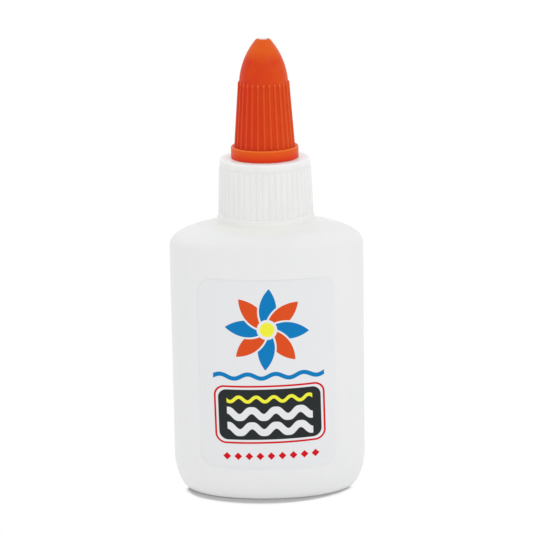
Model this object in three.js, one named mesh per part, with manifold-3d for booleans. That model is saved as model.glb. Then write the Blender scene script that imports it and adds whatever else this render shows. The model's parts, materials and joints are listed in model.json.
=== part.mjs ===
// White glue bottle: an oval squeeze bottle with a ribbed screw collar and a twist nozzle.
// Millimetres, +Z up. The origin is the middle of the base, and the label faces -Y.
import * as THREE from "three";
import { mergeVertices } from "three/addons/utils/BufferGeometryUtils.js";
import Module from "manifold-3d";

const wasm = await Module();
wasm.setup();

// Bottle: oval body
const bodyWidth = 40; // outside, left to right
const bodyDepth = 27; // outside, front to back
const circlePower = 2;
const ovalPower = 2.1; // squarer than an ellipse, which has the circle's power
const wall = 1; // side wall and shoulder
const baseThickness = 1.2;
const heelInset = 3; // how far the heel curve draws in to the base
const heelHeight = 6.4; // how far up the sides the heel curve starts
const standWidth = 1.5; // flat ring that the bottle stands on
const pushUp = 1; // height of the hollow under the base
const pushUpSlope = 2.5; // width of the slope around that hollow
const shoulderStart = 50.85; // top of the straight sides
const shoulderRise = 5.65; // from there up to the foot of the collar's seat
const shoulderPower = 3.7; // the shoulder falls away from the seat by this power
const seatRadius = 10.1; // low round seat under the collar
const seatFlare = 0.5; // the seat is this much wider in radius at its foot
const seatHeight = 1.4;

// Bottle: neck
const neckRadius = 7.4; // outside, under the thread
const neckWall = 1.5;
const neckHeight = 9.35; // from the root of the neck to its lip
const lipChamfer = 0.3;

// Bottle: label panel and its film
const panelWidth = 28.7;
const panelLift = 0.1; // above the heel curve
const panelDrop = 3.6; // below the shoulder curve
const panelCorner = 3.3;
const panelDepth = 0.4; // how far the panel is sunk into the front
const labelMargin = 0.3; // from the film's edge to the panel's edge
const labelThickness = 0.15;

// Collar
const threadRoom = 0.7; // between the neck and the skirt, for the screw thread
const collarWall = 1.18; // skirt at its top, rib valleys
const collarDraft = 0.35; // the skirt is this much wider in radius at its foot
const collarLift = 0.25; // from the root of the neck to the skirt's foot
const collarBand = 0.7; // plain band around the skirt's foot
const collarBrow = 1; // plain band between the ribs and the rounded edge of the deck
const collarRibCount = 46;
const collarRibHeight = 0.2;
const collarRibSection = [[-0.3, 0], [0, 1], [0.3, 0]]; // shares of the pitch and of the height
const collarRibRunOut = 0.3; // length over which a rib rises out of the skirt
const deckThickness = 1.4;
const deckRound = 0.5; // rounded edge around the deck

// Sealing washer under the deck
const washerThickness = 1;
const washerClearance = 0.15; // to the skirt

// Spout, web and sealing pin, moulded with the collar
const spoutRadius = 4;
const spoutWall = 0.95;
const spoutChamfer = 0.4;
const spoutDrop = 4; // from the top of the nozzle's grip down to the spout's top
const webThickness = 1.2; // the web across the top of the spout carries the pin
const webWindowCount = 3;
const webSpoke = 0.9; // angle in radians between two windows
const webRim = 0.25; // web left standing around the windows, inside and outside
const pinRootRadius = 1.5;
const pinTaper = 11; // length over which the pin narrows to its tip
const pinClearance = 0.12; // around the pin's tip in the orifice
const pinRecess = 0.12; // from the nozzle's tip down to the pin's end
const pinChamfer = 0.15;

// Nozzle
const nozzleClearance = 0.25; // around the spout
const nozzleGap = 0.25; // between the flange and the deck when it is shut
const gripWallTop = 0.8; // between bore and rib valleys at the top of the grip
const gripTaper = 0.92; // the grip is this much wider in radius at its foot
const gripHeight = 12.25;
const gripRibCount = 28;
const gripRibHeight = 0.27;
const gripRibSection = [[-0.28, 0], [-0.12, 1], [0.12, 1], [0.28, 0]];
const gripRibOverrun = 0.7; // the ribs run on over the foot of the dome
const gripRibRunOut = 0.35; // slope at the top end of a rib
const flangeStep = 0.7; // how far the flange stands out past the ribs
const flangeHeight = 2.5;
const flangeRound = 0.35;
const domeHeight = 9.75;
const domeWall = 1.15;
const tipRadius = 1.4;
const orificeRadius = 1;
const boreRunOut = 2; // cone between the bore and the inside of the dome

// Clearances between pieces at rest
const seatGap = 0.1; // washer to lip and to deck, film to panel
const glueGap = 0.1; // glue to the inside of the wall

// Fineness of the facets
const ovalSteps = 48;
const roundSteps = 40;
const curveSteps = 5;
const shoulderSteps = 8;
const edgeSteps = 2;
const windowSteps = 10;
const overshoot = 1; // how far a cutting shape runs past the face that it cuts

// Worked out from the above
const halfWidth = bodyWidth / 2;
const halfDepth = bodyDepth / 2;
const shoulderTop = shoulderStart + shoulderRise;
const neckRoot = shoulderTop + seatHeight;
const neckBore = neckRadius - neckWall;
const collarBore = neckRadius + threadRoom;
const skirtTopRadius = collarBore + collarWall;
const skirtFootRadius = skirtTopRadius + collarDraft;
const washerFoot = neckHeight + seatGap; // heights from here on are above the root of the neck
const washerTop = washerFoot + washerThickness;
const deckUnderside = washerTop + seatGap;
const deckTop = deckUnderside + deckThickness;
const nozzleSeat = deckTop + nozzleGap;
const gripTop = flangeHeight + gripHeight; // above the foot of the nozzle
const nozzleHeight = gripTop + domeHeight;
const spoutTop = nozzleSeat + gripTop - spoutDrop;
const spoutBore = spoutRadius - spoutWall;
const pinEnd = nozzleSeat + nozzleHeight - pinRecess;
const pinRadius = orificeRadius - pinClearance;
const nozzleBore = spoutRadius + nozzleClearance;
const gripTopRadius = nozzleBore + gripWallTop;
const gripFootRadius = gripTopRadius + gripTaper;
const flangeRadius = gripFootRadius + gripRibHeight + flangeStep;

const tau = 2 * Math.PI;
const front = -tau / 4;

function range(count) {
  return Array.from({ length: count }, (_, i) => i);
}

// Shares from 0 to 1 in equal steps, both ends included.
function shares(steps) {
  return range(steps + 1).map((i) => i / steps);
}

// A level ring on an oval, counter-clockwise from above.
function ovalRing(halfX, halfY, z, power = ovalPower) {
  const bend = (value) => Math.sign(value) * Math.abs(value) ** (2 / power);
  return range(ovalSteps).map((i) => {
    const angle = (tau * i) / ovalSteps;
    return new THREE.Vector3(halfX * bend(Math.cos(angle)), halfY * bend(Math.sin(angle)), z);
  });
}

// A level ring with upright ribs, one of them at the front. A rib height of 0 gives a round ring.
function ribbedRing(section, ribCount, valleyRadius, ribHeight, z) {
  return range(ribCount).flatMap((rib) =>
    section.map(([along, up]) => {
      const angle = front + (tau * (rib + along)) / ribCount;
      const radius = valleyRadius + up * ribHeight;
      return new THREE.Vector3(radius * Math.cos(angle), radius * Math.sin(angle), z);
    }),
  );
}

// A skin through rings of equal count, from the lowest face to the highest, closed at both ends.
function loft(rings) {
  const count = rings[0].length;
  const middle = (ring) => ring.reduce((sum, p) => sum.add(p), new THREE.Vector3()).divideScalar(count);
  const points = [...rings.flat(), middle(rings[0]), middle(rings.at(-1))];
  const top = points.length - 1;
  const bottom = top - 1;
  const last = bottom - count;
  const faces = [];
  for (const i of range(count)) {
    const next = (i + 1) % count;
    faces.push(bottom, next, i);
    for (let low = 0; low < last; low += count) {
      faces.push(low + i, low + next, low + count + next);
      faces.push(low + i, low + count + next, low + count + i);
    }
    faces.push(top, last + i, last + next);
  }
  return new THREE.BufferGeometry().setFromPoints(points).setIndex(faces);
}

// A shape turned about Z from [radius, height] points that start and end on the axis.
function turned(profile) {
  const points = profile.map(([radius, height]) => new THREE.Vector2(radius, height));
  return new THREE.LatheGeometry(points, roundSteps).rotateX(tau / 4);
}

// A closed body that can be joined and cut.
function solid(geometry) {
  const bare = geometry.clone();
  bare.deleteAttribute("normal");
  bare.deleteAttribute("uv");
  const { attributes, index } = mergeVertices(bare);
  const corners = range(index.count / 3).map((i) => [...index.array.slice(3 * i, 3 * i + 3)]);
  const faces = corners.filter((face) => new Set(face).size === 3);
  const triVerts = new Uint32Array(faces.flat());
  const vertProperties = attributes.position.array;
  return new wasm.Manifold(new wasm.Mesh({ numProp: 3, vertProperties, triVerts }));
}

function mesh(name, body, material) {
  const { vertProperties, triVerts } = body.getMesh();
  const geometry = new THREE.BufferGeometry();
  geometry.setAttribute("position", new THREE.BufferAttribute(vertProperties, 3));
  geometry.setIndex(new THREE.BufferAttribute(triVerts, 1));
  geometry.computeVertexNormals();
  const piece = new THREE.Mesh(geometry, material);
  piece.name = name;
  return piece;
}

// Floor, heel and foot of the straight sides of an oval vessel that is inset from the body's outside.
function lowerRings(inset, floor) {
  const at = (more, z) => ovalRing(halfWidth - inset - more, halfDepth - inset - more, z);
  const heelRise = heelHeight - floor;
  const heel = shares(curveSteps).map((share) => {
    const turn = (1 - share) * (tau / 4);
    return at(heelInset * (1 - Math.cos(turn)), floor + heelRise * (1 - Math.sin(turn)));
  });
  const ringInset = heelInset + standWidth;
  return [at(ringInset + pushUpSlope, floor + pushUp), at(ringInset, floor), ...heel];
}

// Shoulder from the top of the straight sides to a round end.
function shoulderRings(inset, radius, rise) {
  return shares(shoulderSteps).map((share) => {
    const spread = 1 - share ** shoulderPower;
    const power = circlePower + (ovalPower - circlePower) * spread;
    const across = radius + (halfWidth - inset - radius) * spread;
    const along = radius + (halfDepth - inset - radius) * spread;
    return ovalRing(across, along, shoulderStart + rise * share, power);
  });
}

// Seat from the end of the shoulder up to the root of the neck.
function seatRings(round) {
  return shares(edgeSteps).map((share) => {
    const flare = seatFlare * (1 - share) ** 2;
    return round(seatRadius + flare, shoulderTop + seatHeight * share);
  });
}

// A straight upright oval, inset from the body's sides.
function ovalPrism(inset) {
  const at = (z) => ovalRing(halfWidth - inset, halfDepth - inset, z);
  return solid(loft([at(0), at(neckRoot)]));
}

// A block in front of the middle of the body, with the outline of the label panel less a margin.
function panelBlock(margin) {
  const x = panelWidth / 2 - margin;
  const low = heelHeight + panelLift + margin;
  const high = shoulderStart - panelDrop - margin;
  const round = panelCorner - margin;
  const outline = new THREE.Shape();
  outline.absarc(x - round, low + round, round, front, 0, false);
  outline.absarc(x - round, high - round, round, 0, tau / 4, false);
  outline.absarc(round - x, high - round, round, tau / 4, tau / 2, false);
  outline.absarc(round - x, low + round, round, tau / 2, front + tau, false);
  const depth = halfDepth + overshoot;
  const options = { depth, bevelEnabled: false, curveSegments: curveSteps };
  return solid(new THREE.ExtrudeGeometry(outline, options).rotateX(tau / 4));
}

function bottleBody() {
  const lip = neckRoot + neckHeight;
  const round = (radius, z) => ovalRing(radius, radius, z, circlePower);
  const outside = loft([
    ...lowerRings(0, 0),
    ...shoulderRings(0, seatRadius + seatFlare, shoulderRise).slice(0, -1),
    ...seatRings(round),
    round(neckRadius, neckRoot),
    round(neckRadius, lip - lipChamfer),
    round(neckRadius - lipChamfer, lip),
  ]);
  const inside = loft([
    ...lowerRings(wall, baseThickness),
    ...shoulderRings(wall, neckBore, shoulderRise - wall / 2),
    round(neckBore, lip + overshoot),
  ]);
  const panel = panelBlock(0).subtract(ovalPrism(panelDepth));
  return solid(outside).subtract(solid(inside)).subtract(panel);
}

function glueFill() {
  const inset = wall + glueGap;
  const top = ovalRing(halfWidth - inset, halfDepth - inset, shoulderStart);
  return solid(loft([...lowerRings(inset, baseThickness + glueGap), top]));
}

function frontLabel() {
  const back = panelDepth - seatGap;
  const film = ovalPrism(back - labelThickness).subtract(ovalPrism(back));
  return panelBlock(labelMargin).intersect(film);
}

function collarSkirt() {
  const ribFootZ = collarLift + collarBand + collarRibRunOut;
  const ribTopZ = deckTop - deckRound - collarBrow - collarRibRunOut;
  const ring = (radius, ribHeight, z) => ribbedRing(collarRibSection, collarRibCount, radius, ribHeight, z);
  const bandRadius = skirtFootRadius + collarRibHeight;
  const edge = shares(edgeSteps).map((share) => {
    const turn = share * (tau / 4);
    const radius = skirtTopRadius - deckRound * (1 - Math.cos(turn));
    return ring(radius, 0, deckTop - deckRound * (1 - Math.sin(turn)));
  });
  const outside = loft([
    ring(bandRadius, 0, collarLift),
    ring(bandRadius, 0, collarLift + collarBand),
    ring(skirtFootRadius, collarRibHeight, ribFootZ),
    ring(skirtTopRadius, collarRibHeight, ribTopZ),
    ring(skirtTopRadius, 0, ribTopZ + collarRibRunOut),
    ...edge,
  ]);
  const inside = turned([
    [0, collarLift - overshoot],
    [collarBore, collarLift - overshoot],
    [collarBore, deckUnderside],
    [0, deckUnderside],
  ]);
  return solid(outside).subtract(solid(inside));
}

// Spout and pin in one turned shape, rooted in the middle of the deck.
function spoutAndPin() {
  const root = deckUnderside + deckThickness / 2;
  return solid(
    turned([
      [0, root],
      [spoutRadius, root],
      [spoutRadius, spoutTop - spoutChamfer],
      [spoutRadius - spoutChamfer, spoutTop],
      [pinRootRadius, spoutTop],
      [pinRadius, spoutTop + pinTaper],
      [pinRadius, pinEnd - pinChamfer],
      [pinRadius - pinChamfer, pinEnd],
      [0, pinEnd],
    ]),
  );
}

function spoutPassage() {
  const webFoot = spoutTop - webThickness;
  const bore = turned([
    [0, deckUnderside - overshoot],
    [spoutBore, deckUnderside - overshoot],
    [spoutBore, webFoot],
    [0, webFoot],
  ]);
  const pitch = tau / webWindowCount;
  const options = { depth: webThickness + 2 * overshoot, bevelEnabled: false, curveSegments: windowSteps };
  const windows = range(webWindowCount).map((i) => {
    const start = front + webSpoke / 2 + i * pitch;
    const end = start + pitch - webSpoke;
    const outline = new THREE.Shape();
    outline.absarc(0, 0, spoutBore - webRim, start, end, false);
    outline.absarc(0, 0, pinRootRadius + webRim, end, start, true);
    return solid(new THREE.ExtrudeGeometry(outline, options).translate(0, 0, webFoot - overshoot));
  });
  return windows.reduce((cut, opening) => cut.add(opening), solid(bore));
}

function screwCollar() {
  return collarSkirt().add(spoutAndPin()).subtract(spoutPassage());
}

function sealingWasher() {
  const outer = collarBore - washerClearance;
  return solid(
    turned([
      [neckBore, washerFoot],
      [outer, washerFoot],
      [outer, washerTop],
      [neckBore, washerTop],
      [neckBore, washerFoot],
    ]),
  );
}

// The dome is an arc that leaves the grip upright and ends at the tip.
function domeRadius(height) {
  const fall = gripTopRadius - tipRadius;
  const arc = (fall ** 2 + domeHeight ** 2) / (2 * fall);
  return gripTopRadius - arc + Math.sqrt(arc ** 2 - height ** 2);
}

function twistNozzle() {
  const ring = (radius, ribHeight, z) => ribbedRing(gripRibSection, gripRibCount, radius, ribHeight, z);
  const domeRing = (height, ribHeight) => ring(domeRadius(height), ribHeight, gripTop + height);
  const ribEnd = gripRibOverrun + gripRibRunOut;
  const dome = shares(curveSteps).map((share) => domeRing(ribEnd + (domeHeight - ribEnd) * share, 0));
  const outside = loft([
    ring(flangeRadius - flangeRound, 0, 0),
    ring(flangeRadius, 0, flangeRound),
    ring(flangeRadius, 0, flangeHeight - flangeRound),
    ring(flangeRadius - flangeRound, 0, flangeHeight),
    ring(gripFootRadius, gripRibHeight, flangeHeight),
    ring(gripTopRadius, gripRibHeight, gripTop),
    domeRing(gripRibOverrun, gripRibHeight),
    ...dome,
  ]);
  const domeInside = shares(curveSteps)
    .map((share) => [domeRadius(domeHeight * share) - domeWall, gripTop + domeHeight * share])
    .filter(([radius]) => radius > orificeRadius);
  const land = domeInside.at(-1)[1] + domeWall;
  const inside = turned([
    [0, -overshoot],
    [nozzleBore, -overshoot],
    [nozzleBore, gripTop - boreRunOut],
    ...domeInside,
    [orificeRadius, land],
    [orificeRadius, nozzleHeight + overshoot],
    [0, nozzleHeight + overshoot],
  ]);
  return solid(outside).subtract(solid(inside));
}

const bottlePlastic = new THREE.MeshStandardMaterial({ color: 0xe9e9e7, roughness: 0.5, metalness: 0 });
const glue = new THREE.MeshStandardMaterial({ color: 0xf3f1ea, roughness: 0.25, metalness: 0 });
const labelFilm = new THREE.MeshStandardMaterial({ color: 0xe8ebef, roughness: 0.35, metalness: 0 });
const collarPlastic = new THREE.MeshStandardMaterial({ color: 0xe4e4e1, roughness: 0.45, metalness: 0 });
const washerFoam = new THREE.MeshStandardMaterial({ color: 0xdedad0, roughness: 0.8, metalness: 0 });
const nozzlePlastic = new THREE.MeshStandardMaterial({ color: 0xd9461f, roughness: 0.4, metalness: 0 });

const bottle = new THREE.Group();
bottle.add(
  mesh("bottle_body", bottleBody(), bottlePlastic),
  mesh("glue_fill", glueFill(), glue),
  mesh("front_label", frontLabel(), labelFilm),
);

const nozzle = mesh("twist_nozzle", twistNozzle(), nozzlePlastic);
nozzle.position.z = nozzleSeat;

const closure = new THREE.Group();
closure.position.z = neckRoot;
closure.add(
  mesh("screw_collar", screwCollar(), collarPlastic),
  mesh("sealing_washer", sealingWasher(), washerFoam),
  nozzle,
);

const glueBottle = new THREE.Group();
glueBottle.add(bottle, closure);

export default glueBottle;
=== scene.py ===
import json
import math

import bpy
from mathutils import Matrix, Vector


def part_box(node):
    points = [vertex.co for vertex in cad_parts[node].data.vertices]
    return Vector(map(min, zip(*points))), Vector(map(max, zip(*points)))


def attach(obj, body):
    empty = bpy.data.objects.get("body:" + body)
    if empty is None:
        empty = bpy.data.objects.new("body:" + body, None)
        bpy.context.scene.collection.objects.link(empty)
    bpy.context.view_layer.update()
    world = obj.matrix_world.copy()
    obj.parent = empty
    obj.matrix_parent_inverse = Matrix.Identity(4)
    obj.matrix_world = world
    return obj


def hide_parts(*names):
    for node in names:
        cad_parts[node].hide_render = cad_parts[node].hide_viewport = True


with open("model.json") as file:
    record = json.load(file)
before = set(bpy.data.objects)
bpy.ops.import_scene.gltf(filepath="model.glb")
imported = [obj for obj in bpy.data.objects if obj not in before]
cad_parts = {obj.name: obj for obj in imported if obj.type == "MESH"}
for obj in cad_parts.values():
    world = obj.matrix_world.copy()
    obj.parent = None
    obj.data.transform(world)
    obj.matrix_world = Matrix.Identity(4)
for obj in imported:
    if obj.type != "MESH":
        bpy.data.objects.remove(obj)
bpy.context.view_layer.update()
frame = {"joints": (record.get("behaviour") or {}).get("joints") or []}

mm = 1000  # shapes are worked out in millimetres, Blender takes metres
tau = 2 * math.pi
front = -tau / 4  # the label faces -Y
sharpEdge = math.radians(50)  # edges with a greater bend stay crisp


def nodeBox(node):
    low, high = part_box(node)
    return low * mm, high * mm


bodyLow, bodyHigh = nodeBox("bottle_body")
glueHigh = nodeBox("glue_fill")[1]
filmLow, filmHigh = nodeBox("front_label")
collarLow, collarHigh = nodeBox("screw_collar")
washerLow, washerHigh = nodeBox("sealing_washer")
nozzleLow, nozzleHigh = nodeBox("twist_nozzle")


# Shape helpers

def smooth(low, high, value):  # 0 below low, 1 above high, soft in between
    share = min(max((value - low) / (high - low), 0), 1)
    return share * share * (3 - 2 * share)


def evenly(low, high, steps):
    return [low + (high - low) * i / steps for i in range(steps + 1)]


def crowded(low, high, coarse, fine, spots):  # steps get fine at the spots and coarse away from them
    widening = 0.25
    values = [low]
    while high - values[-1] > fine:
        away = min(max(start - values[-1], values[-1] - end, 0) for start, end in spots)
        values.append(values[-1] + min(coarse, fine + widening * away))
    return values[:-1] + [high]


def curve(start, corner, end, steps):  # a bend that is drawn towards the corner
    bend = []
    for share in evenly(0, 1, steps):
        near, middle, far = (1 - share) ** 2, 2 * share * (1 - share), share ** 2
        bend.append(tuple(near * a + middle * b + far * c for a, b, c in zip(start, corner, end)))
    return bend


def filleted(corners, steps=5):  # corners are (radius, height, fillet), and the first and last stay sharp
    points = [Vector(corners[0][:2])]
    for before, (radius, height, fillet), after in zip(corners, corners[1:], corners[2:]):
        corner = Vector((radius, height))
        back = (Vector(before[:2]) - corner).normalized()
        ahead = (Vector(after[:2]) - corner).normalized()
        points += [Vector(p) for p in curve(corner + back * fillet, corner, corner + ahead * fillet, steps)]
    return points + [Vector(corners[-1][:2])]


def stepped(points, step):  # points are added along stretches that are longer than the step
    fine = []
    for start, end in zip(points, points[1:]):
        count = max(1, math.ceil((end - start).length / step))
        fine += [start.lerp(end, i / count) for i in range(count)]
    return fine + [points[-1]]


def oval(halfX, halfY, angle, power):
    bend = lambda value: math.copysign(abs(value) ** (2 / power), value)
    return halfX * bend(math.cos(angle)), halfY * bend(math.sin(angle))


def ovalRing(row, angles):  # a row is (half width, half depth, height, power of the oval)
    halfX, halfY, z, power = row
    return [(*oval(halfX, halfY, angle, power), z) for angle in angles]


def around(radius, angle, z):
    return radius * math.cos(angle), radius * math.sin(angle), z


def onWall(radius, wall):
    return abs(radius - wall) < 0.01


def threadRelief(angle, height, thread):  # how far a right-hand thread stands out
    starts = thread["starts"]
    pitch = thread["lead"] / starts
    along = (height - thread["foot"]) / pitch - starts * (angle - front) / tau
    away = abs(along - round(along)) * pitch
    crest = 1 - smooth(thread["crestWidth"] / 2, thread["rootWidth"] / 2, away)
    rise = smooth(thread["foot"], thread["foot"] + thread["runOut"], height)
    fall = 1 - smooth(thread["top"] - thread["runOut"], thread["top"], height)
    return thread["height"] * crest * rise * fall


def ribColumns(plan, ribShape):  # angles, each with the share of the rib's height there
    return [(front + tau * (rib + phase) / plan["ribCount"], ribShape(phase))
            for rib in range(plan["ribCount"]) for phase in plan["ribPhases"]]


def ringIndex(rings):  # gives a point's number from its ring and its place in the ring
    starts = [0]
    for ring in rings[:-1]:
        starts.append(starts[-1] + len(ring))
    return lambda row, column: starts[row] + column % len(rings[row])


def quad(index, row, above, column):
    return [index(row, column), index(row, column + 1), index(above, column + 1), index(above, column)]


def lofted(rings, closed=False):  # quads between rings, and a ring of one point closes an end
    index = ringIndex(rings)
    count = max(len(ring) for ring in rings)
    faces = {}
    for row in range(len(rings) if closed else len(rings) - 1):
        above = (row + 1) % len(rings)
        for column in range(count):
            corners = quad(index, row, above, column)
            if len(rings[row]) == 1:
                corners = [corners[0], corners[2], corners[3]]
            elif len(rings[above]) == 1:
                corners = corners[:3]
            faces[row, column] = corners
    return faces


def addObject(name, data):
    made = bpy.data.objects.new(name, data)
    bpy.context.scene.collection.objects.link(made)
    return made


def addPiece(name, rings, faces, material, body, node):
    mesh = bpy.data.meshes.new(name)
    points = [Vector(point) / mm for ring in rings for point in ring]
    mesh.from_pydata(points, [], list(faces.values()))
    mesh.shade_smooth()
    mesh.set_sharp_from_angle(angle=sharpEdge)
    mesh.materials.append(material)
    piece = addObject(name, mesh)
    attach(piece, body)
    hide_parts(node)
    print(f"{name}: {len(mesh.polygons)} faces, rides on {body}")


# Shader helpers

class Wire:  # a socket that Python's operators work on
    def __init__(self, tree, socket=None):
        self.tree = tree
        self.socket = socket

    def node(self, kind, settings, sockets, output=0):
        made = self.tree.nodes.new(kind)
        for name, value in settings.items():
            setattr(made, name, value)
        for key, value in sockets.items():
            if isinstance(value, Wire):
                self.tree.links.new(value.socket, made.inputs[key])
            else:
                made.inputs[key].default_value = value
        return Wire(self.tree, made.outputs[output])

    def output(self, name):  # another output of the same node
        return Wire(self.tree, self.socket.node.outputs[name])

    def math(self, operation, *values):
        return self.node("ShaderNodeMath", {"operation": operation}, dict(enumerate(values)))

    def __add__(self, other):
        return self.math("ADD", self, other)

    def __sub__(self, other):
        return self.math("SUBTRACT", self, other)

    def __rsub__(self, other):
        return self.math("SUBTRACT", other, self)

    def __mul__(self, other):
        return self.math("MULTIPLY", self, other)

    def __truediv__(self, other):
        return self.math("DIVIDE", self, other)

    def __pow__(self, other):
        return self.math("POWER", self, other)

    __radd__ = __add__
    __rmul__ = __mul__

    def size(self):
        return self.math("ABSOLUTE", self)

    def fraction(self):
        return self.math("FRACT", self)

    def least(self, other):
        return self.math("MINIMUM", self, other)

    def most(self, other):
        return self.math("MAXIMUM", self, other)

    def above(self, low, high):  # 0 below low, 1 above high, soft in between
        ends = {"Value": self, "From Min": low, "From Max": high}
        return self.node("ShaderNodeMapRange", {"interpolation_type": "SMOOTHSTEP"}, ends)

    def below(self, low, high):
        return 1 - self.above(low, high)

    def tint(self, under, over):  # this value is the share of the colour that lies over the other
        return self.node("ShaderNodeMix", {"data_type": "RGBA"}, {0: self, 6: under, 7: over}, 2)

    def blend(self, one, other):  # this value is the share of the other shader
        return self.node("ShaderNodeMixShader", {}, {0: self, 1: one, 2: other})

    def stretched(self, x, y, z):
        return self.node("ShaderNodeVectorMath", {"operation": "MULTIPLY"}, {0: self, 1: (x, y, z)})

    def axes(self):
        x = self.node("ShaderNodeSeparateXYZ", {}, {0: self}, "X")
        return x, x.output("Y"), x.output("Z")

    def cloud(self, scale, detail=2, rough=0.5):
        return self.node("ShaderNodeTexNoise", {},
                         {"Vector": self, "Scale": scale, "Detail": detail, "Roughness": rough})

    def cells(self, scale):
        return self.node("ShaderNodeTexVoronoi", {}, {"Vector": self, "Scale": scale})

    def relief(self):  # this value is a height in millimetres
        return self.node("ShaderNodeBump", {}, {"Height": self, "Strength": 1, "Distance": 1 / mm})


def hypot(one, other):
    return (one ** 2 + other ** 2) ** 0.5


def placeOnPiece(tree):  # in millimetres
    metres = Wire(tree).node("ShaderNodeTexCoord", {}, {}, "Object")
    return metres.node("ShaderNodeVectorMath", {"operation": "SCALE"}, {0: metres, "Scale": mm})


def raysThatSee(tree):  # 1 for what the camera sees, straight, mirrored or through a clear piece
    path = Wire(tree).node("ShaderNodeLightPath", {}, {}, "Is Camera Ray")
    return path.most(path.output("Is Glossy Ray")).most(path.output("Is Transmission Ray"))


def startMaterial(name, constants):
    material = bpy.data.materials.new(name)
    material.use_nodes = True
    shader = material.node_tree.nodes["Principled BSDF"]
    for socket, value in constants.items():
        shader.inputs[socket].default_value = value
    return material, shader, placeOnPiece(material.node_tree)


def feed(shader, colour, roughness, height):
    wires = {"Base Color": colour, "Roughness": roughness, "Normal": height.relief()}
    for socket, wire in wires.items():
        wire.tree.links.new(wire.socket, shader.inputs[socket])


# Camera, placed as the photograph was taken

cameraPlan = {
    "distance": 500,  # from the middle of the picture
    "elevation": 13.69,  # degrees above the horizon
    "aimHeight": 47.0,
    "aimAside": -0.04,
    "roll": -0.97,  # degrees, the bottle leans left in the picture
    "lens": 162.6,
    "sensor": 36,
}


def addCamera():
    plan = cameraPlan
    lens = bpy.data.cameras.new("camera")
    lens.lens = plan["lens"]
    lens.sensor_width = plan["sensor"]
    lens.sensor_fit = "HORIZONTAL"
    camera = addObject("camera", lens)
    rise = math.radians(plan["elevation"])
    aim = Vector((plan["aimAside"], 0, plan["aimHeight"]))
    away = Vector((0, -math.cos(rise), math.sin(rise))) * plan["distance"]
    tilt = Matrix.Rotation(tau / 4 - rise, 4, "X") @ Matrix.Rotation(math.radians(plan["roll"]), 4, "Z")
    camera.matrix_world = Matrix.Translation((aim + away) / mm) @ tilt
    bpy.context.scene.camera = camera
    print("camera placed")


addCamera()


# Bottle body: blow-moulded white polyethylene

bottle = {
    "ovalPower": 2.1,
    "wall": 1.0,
    "baseThickness": 1.2,
    "heelInset": 2.5,
    "heelHeight": 6.4,
    "heelPower": 1.6,  # flatter than a round heel
    "standWidth": 1.5,
    "pushUp": 1.0,
    "pushUpSlope": 2.5,
    "pushUpLand": 1.2,  # flat ring inside the slope
    "pushUpCrown": 0.15,  # the hollow under the base is slightly domed
    "baseFillet": 0.7,
    "shoulderRise": 5.65,
    "shoulderPower": 3.7,
    "shoulderEnd": 0.93,  # share of the rise at which the bend up to the seat starts
    "seatRadius": 9.86,  # low round seat under the collar
    "seatFlare": 0.75,
    "seatGap": 0.02,  # between the seat and the collar
    "seatRim": 0.25,  # the seat's thin rim stands this much over the collar's foot
    "seatRimWidth": 0.02,
    "seatRimGap": 0.012,  # between the rim and the collar
    "seatRimFillet": 0.002,
    "seatCorner": 0.01,
    "seatBend": 0.45,  # share of the seat's height at which that bend ends
    "seatFillet": 0.25,
    "neckRadius": 7.4,
    "neckWall": 1.5,
    "lipFillet": 0.35,
    "panelDepth": 0.15,  # the film lies in a shallow panel
    "panelSink": (0.05, 1.6),  # the panel's soft edge, measured outwards from the film
    "partingHeight": 0.06,  # mould line on both sides
    "partingWidth": (0.04, 0.22),
    "partingFoot": (0.2, 1.5),
    "partingRunOut": 1,
    "pinchHeight": 0.3,  # pinched seam under the base
    "pinchWidth": (0.15, 0.4),
    "pinchTop": 1.5,  # only what lies lower carries it
    "pinchEnd": (5.2, 6.6),  # its ends fade out between these distances from the side
    "coarseColumn": 0.06,  # steps round the oval in radians
    "fineColumn": 0.0105,
    "seamSpan": 0.022,  # fine steps on each side of the mould line, in radians
    "filmSpan": (3.2, 1.2),  # fine steps from inside the film's edge to outside it
    "coarseRow": 1.5,
    "fineRow": 0.2,
    "neckRow": 0.2,
    "crownSteps": 12,
    "heelSteps": 36,
    "shoulderSteps": 30,
    "seatSteps": 8,
    "insideSideSteps": 8,
    "insideShoulderSteps": 14,
}
filmCorner = 3.0
filmAside, filmLift = -0.27, 0.4  # the label was put on slightly off the panel's middle
halfWidth = (bodyHigh.x - bodyLow.x) / 2
halfDepth = (bodyHigh.y - bodyLow.y) / 2
lipHeight = bodyHigh.z
shoulderStart = glueHigh.z  # the glue is filled to the top of the straight sides
shoulderTop = shoulderStart + bottle["shoulderRise"]
neckRoot = collarLow.z - bottle["seatGap"]
neckBore = bottle["neckRadius"] - bottle["neckWall"]
rimTop = collarLow.z + bottle["seatRim"]
neckThread = {
    "starts": 1, "lead": 3.0, "foot": neckRoot + 2.7, "top": lipHeight - 1.3, "runOut": 0.7,
    "crestWidth": 0.5, "rootWidth": 1.5, "height": 0.35,
}
filmHalfWidth = (filmHigh.x - filmLow.x) / 2
filmHalfHeight = (filmHigh.z - filmLow.z) / 2
filmMiddle = (filmHigh.z + filmLow.z) / 2 + filmLift
filmFoot, filmTop = filmMiddle - filmHalfHeight, filmMiddle + filmHalfHeight


def outsideFilm(x, z):  # distance from the film's outline, negative inside it
    aside = abs(x - filmAside) - filmHalfWidth + filmCorner
    along = abs(z - filmMiddle) - filmHalfHeight + filmCorner
    return math.hypot(max(aside, 0), max(along, 0)) + min(max(aside, along), 0) - filmCorner


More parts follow.
